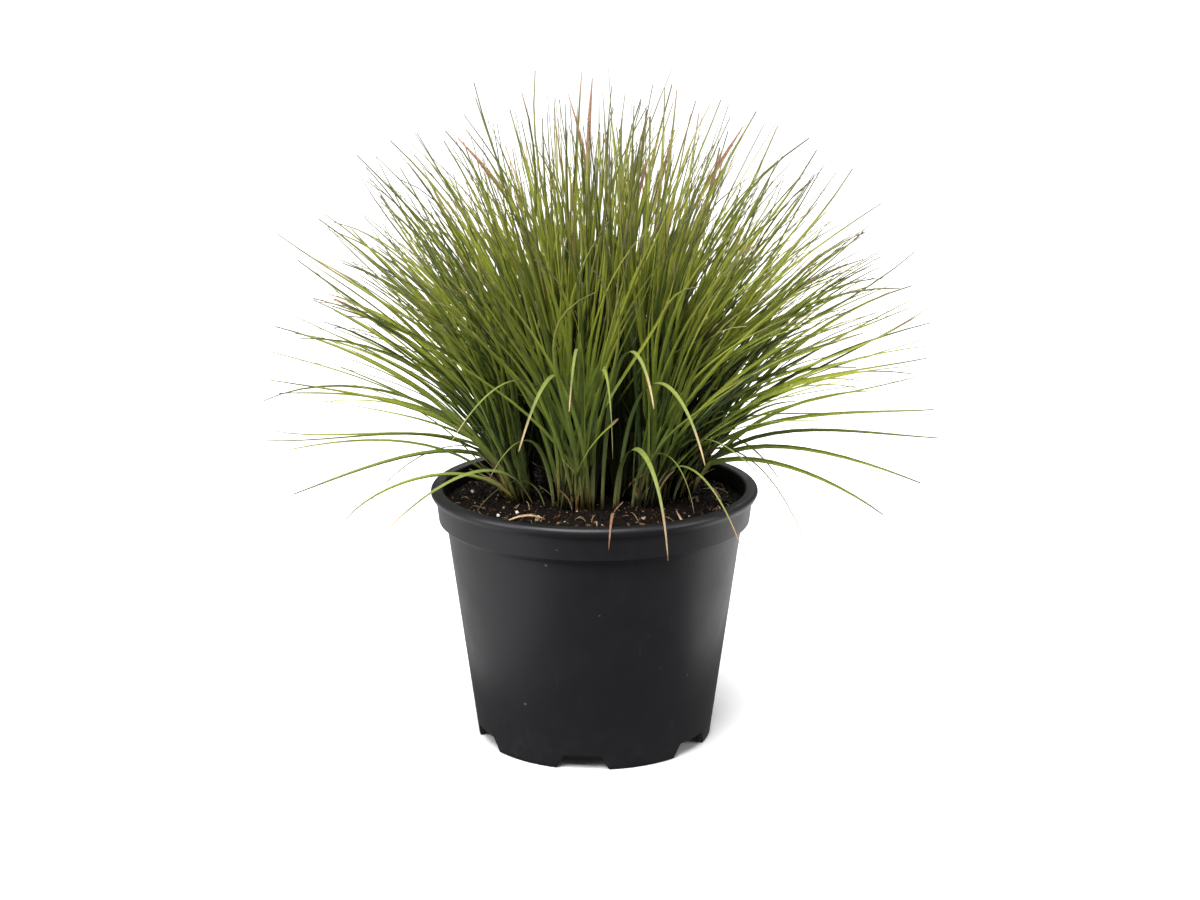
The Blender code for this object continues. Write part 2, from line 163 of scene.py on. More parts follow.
# Each leaf that bends over out of the mass: heading of its foot round the crown, height of its bend,
# share of the way to its tip at which it starts to fall, tip, width
DROOPING_LEAVES = (
    (-78.0, 0.186, 0.86, (0.040, -0.107, 0.136), 0.0034),
    (-66.0, 0.180, 0.80, (0.055, -0.074, 0.153), 0.0030),
    (-52.0, 0.170, 0.62, (0.084, -0.076, 0.126), 0.0018),
    (-92.0, 0.236, 0.98, (0.010, -0.128, 0.198), 0.0036),
    (-86.0, 0.244, 0.80, (0.031, -0.142, 0.228), 0.0030),
    (-76.0, 0.226, 0.72, (0.058, -0.134, 0.196), 0.0032),
    (-97.0, 0.229, 0.58, (-0.039, -0.132, 0.203), 0.0032),
    (-103.0, 0.226, 0.62, (-0.074, -0.132, 0.208), 0.0028),
    (-118.0, 0.188, 0.62, (-0.056, -0.090, 0.178), 0.0026),
    (-135.0, 0.164, 0.50, (-0.118, -0.044, 0.134), 0.0028),
    (-125.0, 0.158, 0.55, (-0.067, -0.030, 0.142), 0.0024),
    (-30.0, 0.176, 0.66, (0.126, -0.052, 0.110), 0.0028),
    (-45.0, 0.190, 0.55, (0.092, -0.116, 0.182), 0.0026),
    (-97.0, 0.247, 0.60, (-0.012, -0.181, 0.236), 0.0026),
    (38.0, 0.166, 0.60, (0.114, 0.088, 0.130), 0.0028),
    (82.0, 0.168, 0.60, (0.020, 0.146, 0.124), 0.0030),
    (118.0, 0.166, 0.60, (-0.074, 0.130, 0.132), 0.0026),
    (158.0, 0.164, 0.60, (-0.134, 0.046, 0.128), 0.0028),
)
BENT_LEAF_FOOT = 0.86  # share of the crown's radius
BENT_LEAF_WIDTH = 0.80  # evens out that a leaf's profile is up to 1.25 wide
BENT_LEAF_STATIONS = 30

# Litter
STEM_STATIONS = 14
FIBRE_STATIONS = 10
STRAW_WIDTH = 0.0012
STRAW_THICKNESS = 0.5  # against its width
STALK_THICKNESS = 0.7
STEM_FOLD = 0.2

# Stage. The floor glows away from the pot, so that it looks white: where from the pot's axis each glow
# starts and is full, and its strength
FLOOR_HALF = 30.0
FLOOR_DROP = 0.0002
NEAR_GLOW = (0.075, 0.14, 0.60)
FAR_GLOW = (0.3, 2.4, 0.45)
SKY_STRENGTH = 0.20
MIDDLE = (0.0, 0.0, 0.20)
# Area lights: name, place, what it points at, size, power. The two low ones stand in for the light
# that the floor would throw back.
LIGHTS = (
    ("key", (-0.5, -1.4, 2.3), MIDDLE, (1.8, 1.8), 132.0),
    ("left", (-1.7, -0.7, 0.7), MIDDLE, (0.7, 1.3), 21.0),
    ("right", (1.8, -0.7, 0.8), MIDDLE, (1.1, 1.4), 20.0),
    ("back", (0.4, 1.6, 1.9), MIDDLE, (1.4, 1.0), 22.0),
    ("left bounce", (-0.39, 0.16, 0.01), (-0.39, 0.16, 1.0), (0.54, 0.9), 1.2),
    ("right bounce", (0.45, 0.35, 0.01), (0.45, 0.35, 1.0), (0.6, 0.8), 2.0),
)

Tuft = namedtuple("Tuft", "name share heading half_angle leaves tip_share tip_spread")

CAMERA_PLACE = (0.0033, -1.2972, 0.500)
CAMERA_PITCH = math.radians(90 - 14.26)
CAMERA_LENS = 69.3


# ---- shapes


def unit(vectors):
    return vectors / np.linalg.norm(vectors, axis=-1, keepdims=True)


def leaning(lean, heading):
    """Directions that lean this far from straight up, towards these headings."""
    return np.stack((np.sin(lean) * np.cos(heading), np.sin(lean) * np.sin(heading), np.cos(lean)), axis=-1)


def smooth_step(low, high, value):
    t = np.clip((value - low) / (high - low), 0.0, 1.0)
    return t * t * (3 - 2 * t)


def soil_height(x, y):
    radius = np.hypot(x, y)
    return SOIL_TOP + (SOIL_EDGE - SOIL_TOP) * smooth_step(*SOIL_SLOPE, radius)


def crown_points(share, heading):
    """Points on the soil, at these shares of the crown's radius."""
    x = CROWN_CENTRE[0] + CROWN_HALF[0] * share * np.cos(heading)
    y = CROWN_CENTRE[1] + CROWN_HALF[1] * share * np.sin(heading)
    return np.stack((x, y, soil_height(x, y)), axis=-1)


def crown_share(feet):
    """How far from the crown's middle leaves grow, against its radius."""
    return np.hypot(*((feet[:, :2] - CROWN_CENTRE) / CROWN_HALF).T)


def widest_lean(heading):
    return WIDEST_ANGLE - FRONT_UPRIGHTNESS * np.maximum(0.0, -np.sin(heading)) ** 2


def tip_points(lean, heading, reach_share):
    reach = DOME_TOP_REACH - (DOME_TOP_REACH - DOME_SIDE_REACH) * (lean / (math.pi / 2)) ** 2
    out = leaning(lean, heading) * (reach * reach_share)[:, None]
    out[:, 1] *= DOME_DEPTH
    return DOME_CENTRE + out


def lean_and_heading(tips):
    out = tips - DOME_CENTRE
    out[:, 1] /= DOME_DEPTH
    return np.arccos(unit(out)[:, 2]), np.arctan2(out[:, 1], out[:, 0])


def courses_between(feet, tips, lean, heading, rng):
    """Four Bezier points for each leaf: it starts upright and arches over towards its tip."""
    count = len(feet)
    length = np.linalg.norm(tips - feet, axis=1)[:, None]
    first_lean = lean * FIRST_LEAN * rng.normal(1.0, FOOT_STRAY[0], count)
    start = leaning(first_lean, heading + rng.normal(0, FOOT_STRAY[1], count))
    last_lean = lean * LAST_LEAN + rng.normal(0.0, TIP_STRAY[0], count)
    end = leaning(last_lean, heading + rng.normal(0, TIP_STRAY[1], count))
    second = feet + start * length * FIRST_REACH
    third = tips - end * length * LAST_REACH
    return np.stack((feet, second, third, tips), axis=1)


def bezier(courses, t):
    a, b, c, d = (courses[:, i, None, :] for i in range(4))
    t = t[None, :, None]
    place = a * (1 - t) ** 3 + b * 3 * t * (1 - t) ** 2 + c * 3 * t**2 * (1 - t) + d * t**3
    ahead = (b - a) * (1 - t) ** 2 + (c - b) * 2 * t * (1 - t) + (d - c) * t**2
    return place, unit(ahead)


def leaf_rings(courses, heading, width, twist, profile, fold=FOLD, thickness=LEAF_THICKNESS):
    """Cross-sections (leaf, station, side, xyz): right edge, channel, left edge and keel."""
    t = np.linspace(0.0, 1.0, profile.shape[-1])
    place, ahead = bezier(courses, t)
    across = np.stack((-np.sin(heading), np.cos(heading), np.zeros_like(heading)), axis=-1)[:, None, :]
    right = unit(across - ahead * np.sum(across * ahead, axis=-1, keepdims=True))
    top = np.cross(ahead, right)
    angle = (twist[:, 0, None] + twist[:, 1, None] * t[None, :])[..., None]
    turned_right = right * np.cos(angle) + top * np.sin(angle)
    turned_top = top * np.cos(angle) - right * np.sin(angle)
    half = (width[:, None] * profile / 2)[..., None]
    thick = thickness * np.clip(profile, 0.3, 1.0)[..., None]
    edge = turned_top * half * fold
    sides = (
        place + turned_right * half + edge,
        place + turned_top * thick / 2,
        place - turned_right * half + edge,
        place - turned_top * thick / 2,
    )
    return np.stack(sides, axis=2)


def ring_faces(count, stations):
    """Faces of many closed tubes whose cross-sections have SIDES points each."""
    index = np.arange(count * stations * SIDES).reshape(count, stations, SIDES)
    here, ahead = index[:, :-1], index[:, 1:]
    walls = np.stack((here, np.roll(here, -1, axis=2), np.roll(ahead, -1, axis=2), ahead), axis=-1)
    ends = np.stack((index[:, 0, ::-1], index[:, -1]), axis=1)
    return np.concatenate((walls.reshape(count, -1, SIDES), ends), axis=1).reshape(-1, SIDES)


def strip_atlas(count, stations):
    """A UV corner for each face corner of ring_faces: each tube unrolls to a cell of its own."""
    columns = math.ceil(math.sqrt(count * 4))
    rows = math.ceil(count / columns)
    v = np.linspace(0.02, 0.96, stations)
    u = np.linspace(0.04, 0.96, SIDES + 1)
    station, side = np.meshgrid(np.arange(stations - 1), np.arange(SIDES), indexing="ij")
    wall_u = np.stack((u[side], u[side + 1], u[side + 1], u[side]), axis=-1)
    wall_v = np.stack((v[station], v[station], v[station + 1], v[station + 1]), axis=-1)
    walls = np.stack((wall_u, wall_v), axis=-1).reshape(-1, SIDES, 2)
    corner = np.array(((0.1, 0.0), (0.9, 0.0), (0.9, 0.012), (0.1, 0.012)))
    ends = np.stack((corner, corner + (0.0, 0.975)))
    cell = np.concatenate((walls, ends))
    number = np.arange(count)
    origin = np.stack((number % columns, number // columns), axis=-1)
    return ((cell[None] + origin[:, None, None, :]) / (columns, rows)).reshape(-1, 2)


def new_object(name, data):
    made = bpy.data.objects.new(name, data)
    bpy.context.scene.collection.objects.link(made)
    return made


def mesh_piece(name, points, faces, material, nodes, attributes=None, uv=None, smooth=True):
    """A mesh object that rides on the part's one body and stands for these CAD nodes."""
    mesh = bpy.data.meshes.new(name)
    mesh.from_pydata(points.tolist(), [], faces.tolist() if isinstance(faces, np.ndarray) else faces)
    for key, values in (attributes or {}).items():
        layer = mesh.attributes.new(key, "FLOAT", "POINT")
        layer.data.foreach_set("value", np.ascontiguousarray(values, dtype=np.float32))
    if uv is not None:
        layer = mesh.uv_layers.new(name="OFBake")
        layer.data.foreach_set("uv", np.ascontiguousarray(uv, dtype=np.float32).ravel())
    mesh.polygons.foreach_set("use_smooth", np.full(len(mesh.polygons), smooth))
    mesh.materials.append(material)
    made = new_object(name, mesh)
    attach(made, "root")
    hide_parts(*nodes)
    return made


def crease_lengthways(made, stations):
    """Keeps a leaf's edges and folds crisp, and its length smooth."""
    mesh = made.data
    ends = np.zeros(len(mesh.edges) * 2, dtype=np.int32)
    mesh.edges.foreach_get("vertices", ends)
    first, second = ends.reshape(-1, 2).T
    lengthways = (first % SIDES == second % SIDES) & (np.abs(first - second) == SIDES)
    sharp = mesh.attributes.new("sharp_edge", "BOOLEAN", "EDGE")
    sharp.data.foreach_set("value", lengthways)


def leaf_piece(name, rings, blades, material, nodes):
    """Joins leaves into one mesh. blades holds each leaf's tint, rust, and the shares of its length
    from which it is dead and up to which the leaves round it keep it shaded and dark."""
    count, stations = rings.shape[:2]
    along = np.broadcast_to(np.linspace(0, 1, stations)[None, :, None], rings.shape[:3])
    blades = {key: values[:, None, None] for key, values in blades.items()}
    dead_from = blades["dead_from"]
    shade_to = blades["shade_to"]
    shade = np.clip(LEAST_SHADE + shade_to, 0.0, 1.0)
    attributes = {
        "along": along,
        "across": np.broadcast_to(np.array((1.0, 0.0, 1.0, 0.0)), rings.shape[:3]),
        "dead": smooth_step(dead_from - 0.04, dead_from + 0.05, along),
        "shaded": shade * (1 - smooth_step(shade_to - SHADE_FADE, shade_to, along)),
        "tint": np.broadcast_to(blades["tint"], rings.shape[:3]),
        "rust": np.broadcast_to(blades["rust"], rings.shape[:3]),
    }
    flat = {key: values.ravel() for key, values in attributes.items()}
    made = mesh_piece(
        name, rings.reshape(-1, 3), ring_faces(count, stations), material, nodes,
        attributes=flat, uv=strip_atlas(count, stations),
    )
    crease_lengthways(made, stations)
    return made


# ---- materials


class Nodes:
    """A short way to write a material's nodes."""

    def __init__(self, name):
        self.material = bpy.data.materials.new(name)
        self.material.use_nodes = True
        self.tree = self.material.node_tree
        self.shader = self.tree.nodes["Principled BSDF"]
        self.output = self.tree.nodes["Material Output"]

    def add(self, kind, settings=None, **inputs):
        made = self.tree.nodes.new(kind)
        for key, value in (settings or {}).items():
            setattr(made, key, value)
        for key, value in inputs.items():
            self.put(made, key, value)
        return made

    def put(self, node, socket, value):
        target = node.inputs[socket]
        if isinstance(value, bpy.types.NodeSocket):
            self.tree.links.new(value, target)
        elif isinstance(value, tuple) and target.type == "RGBA":
            target.default_value = (*value, 1.0)
        else:
            target.default_value = value

    def attribute(self, name):
        return self.add("ShaderNodeAttribute", {"attribute_name": name}).outputs["Fac"]

    def place(self):
        return self.add("ShaderNodeTexCoord").outputs["Object"]

    def math(self, operation, first, second=0.0):
        made = self.add("ShaderNodeMath", {"operation": operation})
        self.put(made, 0, first)
        self.put(made, 1, second)
        return made.outputs[0]

    def noise(self, scale, detail=3.0, roughness=0.6, vector=None):
        made = self.add("ShaderNodeTexNoise", Scale=scale, Detail=detail, Roughness=roughness)
        self.put(made, "Vector", vector or self.place())
        return made.outputs["Fac"]

    def ramp(self, factor, stops):
        made = self.add("ShaderNodeValToRGB", Fac=factor)
        ramp = made.color_ramp
        while len(ramp.elements) < len(stops):
            ramp.elements.new(0.5)
        for element, (place, colour) in zip(ramp.elements, stops):
            element.position = place
            element.color = (*colour, 1.0)
        return made.outputs["Color"]

    def span(self, factor, low, high, to_low=0.0, to_high=1.0):
        made = self.add("ShaderNodeMapRange", Value=factor)
        sockets = ("From Min", "From Max", "To Min", "To Max")
        for socket, value in zip(sockets, (low, high, to_low, to_high)):
            made.inputs[socket].default_value = value
        return made.outputs["Result"]

    def mix(self, factor, first, second, blend="MIX"):
        made = self.add("ShaderNodeMix", {"data_type": "RGBA", "blend_type": blend})
        for socket, value in zip((0, 6, 7), (factor, first, second)):
            self.put(made, socket, value)
        return made.outputs[2]

    def bump(self, height, strength, distance):
        made = self.add("ShaderNodeBump", Height=height, Strength=strength, Distance=distance)
        self.put(self.shader, "Normal", made.outputs["Normal"])

    def surface(self, colour, roughness, specular):
        self.put(self.shader, "Base Color", colour)
        self.put(self.shader, "Roughness", roughness)
        self.put(self.shader, "Specular IOR Level", specular)
        return self.material

    def let_light_through(self, colour, share):
        """Mixes in light that shines through from a thin piece's far side."""
        through = self.add("ShaderNodeBsdfTranslucent", Color=colour)
        both = self.add("ShaderNodeMixShader")
        self.put(both, 0, share)
        self.put(both, 1, self.shader.outputs[0])
        self.put(both, 2, through.outputs[0])
        self.put(self.output, "Surface", both.outputs[0])


def leaf_material(name, paler):
    """Grass leaf: straw-coloured foot, dark green sheath, olive blade, parallel veins and dead tips."""
    made = Nodes(name)
    along = made.attribute("along")
    tint = made.attribute("tint")
    wander = made.noise(38.0, detail=2.0)
    where = made.math("ADD", along, made.span(wander, 0.3, 0.7, -0.06, 0.06))
    olive = made.ramp(where, (
        (0.00, (0.36, 0.25, 0.080)), (0.06, (0.250, 0.240, 0.068)), (0.18, (0.200, 0.260, 0.055)),
        (0.38, (0.270, 0.350, 0.056)), (0.62, (0.360, 0.405, 0.048)), (0.83, (0.345, 0.365, 0.064)),
        (0.94, (0.200, 0.210, 0.080)), (1.00, (0.110, 0.108, 0.075)),
    ))
    deep = made.ramp(where, (
        (0.00, (0.20, 0.15, 0.055)), (0.07, (0.080, 0.088, 0.034)), (0.20, (0.036, 0.066, 0.024)),
        (0.44, (0.044, 0.080, 0.022)), (0.68, (0.080, 0.118, 0.022)), (0.86, (0.125, 0.150, 0.036)),
        (0.95, (0.120, 0.132, 0.060)), (1.00, (0.080, 0.080, 0.060)),
    ))
    green = made.mix(made.span(tint, 0.12, 0.62), deep, olive)
    # Painted shade: the 'shaded' attribute darkens leaves deep in the clump towards near-black, where the
    # clump's own leaves would shade them
    green = made.mix(made.math("MULTIPLY", made.attribute("shaded"), 0.90), green, (0.003, 0.006, 0.003))
    green = made.mix(paler, green, (0.13, 0.18, 0.08))
    straw = made.mix(wander, (0.42, 0.29, 0.13), (0.60, 0.47, 0.27))
    rusty = made.mix(made.span(made.noise(1300.0), 0.35, 0.65), (0.19, 0.090, 0.055), (0.50, 0.29, 0.20))
    dead = made.mix(made.attribute("rust"), straw, rusty)
    colour = made.mix(made.attribute("dead"), green, dead)
    across = made.attribute("across")
    veins = made.math("SINE", made.math("MULTIPLY", across, 17.0))
    shade = made.span(veins, -1.0, 1.0, 0.86, 1.06)
    blotch = made.span(made.noise(260.0, detail=4.0), 0.3, 0.7, 0.86, 1.12)
    colour = made.mix(1.0, colour, made.math("MULTIPLY", shade, blotch), "MULTIPLY")
    made.bump(veins, 0.25, 0.0001)
    roughness = made.span(made.noise(160.0), 0.3, 0.7, 0.42, 0.60)
    made.surface(colour, roughness, 0.28)
    made.let_light_through(made.mix(1.0, colour, (1.25, 1.30, 0.60), "MULTIPLY"), 0.10)
    return made.material


def dead_material(name, dark, pale):
    """Dry plant matter: fibres along it, blotches and no gloss."""
    made = Nodes(name)
    tone = made.noise(420.0, detail=5.0, roughness=0.7)
    colour = made.mix(made.span(tone, 0.3, 0.7), dark, pale)
    fibre = made.noise(1400.0, detail=2.0)
    made.bump(fibre, 0.5, 0.0002)
    return made.surface(colour, made.span(tone, 0.2, 0.8, 0.65, 0.9), 0.25)


def soil_material():
    """Moist potting mix: near-black peat with brown flecks."""
    made = Nodes("Moist peat and bark")
    fine = made.noise(900.0, detail=6.0, roughness=0.75)
    patches = made.noise(120.0, detail=3.0)
    base = made.ramp(fine, (
        (0.30, (0.0015, 0.0011, 0.0008)), (0.52, (0.0050, 0.0032, 0.0020)),
        (0.61, (0.022, 0.011, 0.006)), (0.70, (0.120, 0.058, 0.030)),
    ))
    colour = made.mix(made.span(patches, 0.35, 0.65, 0.0, 0.5), base, (0.005, 0.003, 0.002))
    made.bump(fine, 0.9, 0.0006)
    return made.surface(colour, made.span(patches, 0.3, 0.7, 0.65, 0.95), 0.12)


def crumb_material():
    """Crumbs of peat, bark and fibre, each of a colour of its own."""
    made = Nodes("Crumbs of bark and peat")
    kind = made.attribute("tint")
    own = made.ramp(kind, (
        (0.00, (0.002, 0.0015, 0.001)), (0.50, (0.004, 0.0027, 0.0018)), (0.68, (0.014, 0.008, 0.005)),
        (0.84, (0.060, 0.030, 0.018)), (0.95, (0.190, 0.105, 0.062)), (1.00, (0.500, 0.380, 0.250)),
    ))
    grain = made.span(made.noise(1500.0, detail=4.0), 0.3, 0.7, 0.6, 1.35)
    made.bump(made.noise(2200.0, detail=3.0), 0.6, 0.0002)
    colour = made.mix(1.0, own, grain, "MULTIPLY")
    return made.surface(colour, made.span(kind, 0.0, 1.0, 0.7, 0.9), 0.15)


def perlite_material():
    """Expanded perlite: white, pitted and faintly soiled."""
    made = Nodes("Perlite")
    dirt = made.noise(700.0, detail=4.0)
    colour = made.mix(made.span(dirt, 0.45, 0.7, 0.0, 0.7), (0.78, 0.76, 0.71), (0.36, 0.28, 0.20))
    made.bump(made.noise(2600.0, detail=4.0), 0.8, 0.0003)
    return made.surface(colour, 0.9, 0.3)


def pot_material():
    """Black polypropylene: satin, with moulding mottle, fine scuffs, a few specks and dust on the foot."""
    made = Nodes("Black nursery pot plastic")
    height = made.add("ShaderNodeSeparateXYZ", Vector=made.place()).outputs["Z"]
    mottle = made.noise(55.0, detail=4.0)
    upright = made.add("ShaderNodeMapping", Vector=made.place(), Scale=(260.0, 260.0, 34.0))
    scuffs = made.noise(1.0, detail=5.0, roughness=0.7, vector=upright.outputs["Vector"])
    worn = made.span(scuffs, 0.60, 0.74)
    specks = made.add("ShaderNodeTexVoronoi", {"feature": "F1"}, Vector=made.place(), Scale=85.0)
    speck = made.span(specks.outputs["Distance"], 0.035, 0.075, 1.0, 0.0)
    chosen = made.span(made.noise(31.0, detail=1.0), 0.60, 0.64)
    speck = made.math("MULTIPLY", speck, chosen)
    dust_low = made.span(height, 0.0, 0.030, 1.0, 0.0)
    dust = made.math("MULTIPLY", dust_low, made.span(made.noise(150.0, detail=5.0), 0.40, 0.75))
    base = made.mix(mottle, (0.0068, 0.0064, 0.0084), (0.0096, 0.0091, 0.0116))
    base = made.mix(made.math("MULTIPLY", worn, 0.22), base, (0.035, 0.036, 0.040))
    base = made.mix(made.math("MULTIPLY", dust, 0.10), base, (0.070, 0.062, 0.052))
    colour = made.mix(made.math("MULTIPLY", speck, 0.6), base, (0.22, 0.20, 0.17))
    rough = made.math("ADD", made.span(mottle, 0.3, 0.7, 0.40, 0.47), made.math("MULTIPLY", worn, 0.08))
    rough = made.math("ADD", rough, made.math("MULTIPLY", dust, 0.10))
    grain = made.noise(2600.0, detail=2.0)
    made.bump(made.math("ADD", grain, made.math("MULTIPLY", mottle, 2.0)), 0.10, 0.0002)
    return made.surface(colour, rough, 0.44)


# ---- pot and potting mix


def arc(centre, radius, start, end, count):
    angles = np.radians(np.linspace(start, end, count))
    return np.stack((centre[0] + radius * np.cos(angles), centre[1] + radius * np.sin(angles)), axis=-1)


def line(first, last, count):
    """Points after first, up to and with last."""
    return np.linspace(first, last, count + 1)[1:]


def wall_radius(height):
    return FOOT_RADIUS + (SHOULDER_RADIUS - FOOT_RADIUS) * height / COLLAR_BOTTOM


def pot_outline():
    """(radius, height) points from the middle of the floor's top, over the rim and back underneath,
    and how many of them come before the foot."""
    shoulder = COLLAR_BOTTOM - WALL
    inner_collar = COLLAR_BOTTOM_RADIUS - COLLAR_WALL
    rim_bottom = POT_HEIGHT - RIM_BAND
    wall_top = COLLAR_BOTTOM - 0.0020
    collar_low = (COLLAR_BOTTOM_RADIUS, COLLAR_BOTTOM + COLLAR_ROUND)
    floor_corner = (wall_radius(FLOOR_TOP) - WALL, FLOOR_TOP)
    inside = [
        np.array(((POLE_RADIUS, FLOOR_TOP), (0.030, FLOOR_TOP), (floor_corner[0] - 0.002, FLOOR_TOP))),
        line((floor_corner[0], FLOOR_TOP + 0.002), (wall_radius(shoulder) - WALL, shoulder - 0.0015), 8),
        np.array(((inner_collar - 0.0006, shoulder), (inner_collar, shoulder + 0.0012))),
        line((inner_collar, shoulder + 0.0012), (RIM_INNER_RADIUS, POT_HEIGHT - 0.0016), 5),
        arc((RIM_INNER_RADIUS + 0.0014, POT_HEIGHT - 0.0016), 0.0014, 165, 95, 5),
    ]
    outside = [
        arc((RIM_RADIUS - RIM_ROLL, POT_HEIGHT - RIM_ROLL), RIM_ROLL, 90, -38, 12),
        arc((RIM_RADIUS - 0.0020, rim_bottom + 0.0009), 0.0009, -10, -80, 4),
        arc((COLLAR_TOP_RADIUS + 0.0008, rim_bottom - 0.0008), 0.0008, 95, 175, 4),
        line((COLLAR_TOP_RADIUS, rim_bottom - 0.0016), collar_low, 5),
        arc((collar_low[0] - COLLAR_ROUND, collar_low[1]), COLLAR_ROUND, -12, -88, 6),
        arc((wall_radius(COLLAR_BOTTOM) + 0.0010, COLLAR_BOTTOM - 0.0008), 0.0010, 95, 172, 5),
        line((wall_radius(wall_top), wall_top), (wall_radius(FOOT_ZONE), FOOT_ZONE), 12),
    ]
    foot = [
        line((wall_radius(FOOT_ZONE), FOOT_ZONE), (wall_radius(FOOT_BEND), FOOT_BEND), 8),
        arc((FOOT_RADIUS - FOOT_BEND, FOOT_BEND), FOOT_BEND, -15, -85, 4),
        arc((FOOT_RADIUS - WALL + FOOT_BEND, FOOT_BEND), FOOT_BEND, -95, -165, 4),
        line((FOOT_RADIUS - WALL, FOOT_BEND), (wall_radius(FLOOR_UNDERSIDE) - WALL, FLOOR_UNDERSIDE), 5),
        np.array(((0.030, FLOOR_UNDERSIDE), (POLE_RADIUS, FLOOR_UNDERSIDE))),
    ]
    upper = np.concatenate(inside + outside)
    lower = np.concatenate(foot)
    return np.concatenate((upper, lower)), len(upper)


def notch_lift(heading, radius):
    """How far the foot's edge is cut up at a heading: a trapezoid for each notch."""
    turn = math.tau / NOTCHES
    off = np.abs((heading - FIRST_NOTCH + turn / 2) % turn - turn / 2) * radius
    slope = (off - NOTCH_TOP_WIDTH / 2) / (NOTCH_BOTTOM_WIDTH / 2 - NOTCH_TOP_WIDTH / 2)
    return NOTCH_HEIGHT * (1 - np.clip(slope, 0.0, 1.0))


def notch_headings():
    """Headings all round the pot, closer together at the notches' sloping ends."""
    turn = math.tau / NOTCHES
    even = np.arange(POT_STEPS) * math.tau / POT_STEPS
    ends = np.linspace(NOTCH_TOP_WIDTH / 2, NOTCH_BOTTOM_WIDTH / 2, NOTCH_END_STEPS) / FOOT_RADIUS
    middles = FIRST_NOTCH + np.arange(NOTCHES)[:, None] * turn
    extra = np.concatenate((middles + ends, middles - ends)).ravel() % math.tau
    found = np.sort(np.concatenate((even, extra)))
    keep = np.diff(found, prepend=-1.0) > LEAST_STEP
    return found[keep]


def revolved(radius, height, headings):
    """Points, side faces and two end caps of a turned shape, from its rings' radii and heights."""
    rings, steps = radius.shape
    points = np.stack((radius * np.cos(headings), radius * np.sin(headings), height), axis=-1)
    index = np.arange(rings * steps).reshape(rings, steps)
    beside = np.roll(index, -1, axis=1)
    quads = np.stack((index[:-1], beside[:-1], beside[1:], index[1:]), axis=-1).reshape(-1, 4)
    caps = [index[0].tolist(), index[-1, ::-1].tolist()]
    return points.reshape(-1, 3), quads[:, ::-1].tolist(), caps


def turned_uv(rings, steps, faces):
    """Unrolls a turned shape: heading across and ring number up."""
    uv = []
    for face in faces:
        step = [i % steps for i in face]
        wraps = max(step) - min(step) > steps / 2
        for i, s in zip(face, step):
            s = s + steps if wraps and s < steps / 2 else s
            uv.append((0.01 + 0.98 * s / steps, 0.01 + 0.98 * (i // steps) / (rings - 1)))
    return np.array(uv)


def make_pot():
    """The pot: a turned shape whose foot's rings rise over the notches, with a drilled floor."""
    outline, foot_start = pot_outline()
    headings = notch_headings()
    radius = np.repeat(outline[:, :1], len(headings), axis=1)
    height = np.repeat(outline[:, 1:], len(headings), axis=1)
    lift = notch_lift(headings, FOOT_RADIUS)
    for ring in range(foot_start, len(outline) - 2):
        is_outside = outline[ring, 0] > wall_radius(outline[ring, 1]) - WALL / 2
        room = FOOT_ZONE if is_outside else FLOOR_UNDERSIDE
        raised = lift + outline[ring, 1] * (1 - lift / room)
        radius[ring] += wall_radius(raised) - wall_radius(outline[ring, 1])
        height[ring] = raised
    points, quads, caps = revolved(radius, height, headings)
    faces = quads + caps
    uv = turned_uv(len(outline), len(headings), faces)
    pot = mesh_piece("nursery_pot", points, faces, pot_material(), ["pot"], uv=uv)
    drill_floor(pot)


def drill_floor(pot):
    """The drainage holes in the raised floor, just inside each notch."""
    bm = bmesh.new()
    for i in range(NOTCHES):
        heading = FIRST_NOTCH + math.tau * i / NOTCHES
        radius = DRAIN_HOLE_RADIUS
        made = bmesh.ops.create_cone(
            bm, cap_ends=True, segments=32, radius1=radius, radius2=radius, depth=DRILL_DEPTH
        )
        x, y = DRAIN_HOLE_CIRCLE * math.cos(heading), DRAIN_HOLE_CIRCLE * math.sin(heading)
        bmesh.ops.translate(bm, verts=made["verts"], vec=(x, y, (FLOOR_UNDERSIDE + FLOOR_TOP) / 2))
    mesh = bpy.data.meshes.new("drill")
    bm.to_mesh(mesh)
    bm.free()
    drill = new_object("drill", mesh)
    cut = pot.modifiers.new("Drainage", "BOOLEAN")
    cut.operation = "DIFFERENCE"
    cut.solver = "EXACT"
    cut.object = drill
    bpy.context.view_layer.update()
    evaluated = pot.evaluated_get(bpy.context.evaluated_depsgraph_get())
    pot.data = bpy.data.meshes.new_from_object(evaluated)
    pot.modifiers.clear()
    bpy.data.objects.remove(drill)


def rough_height(x, y):
    """Height of the potting mix's lumpy surface above its smooth one."""
    lumps = noise.fractal(Vector((x * 95, y * 95, 0.0)), 0.9, 2.1, 5)
    pits = noise.noise(Vector((x * 40, y * 40, 7.0)))
    return 0.0011 * lumps + 0.0009 * pits


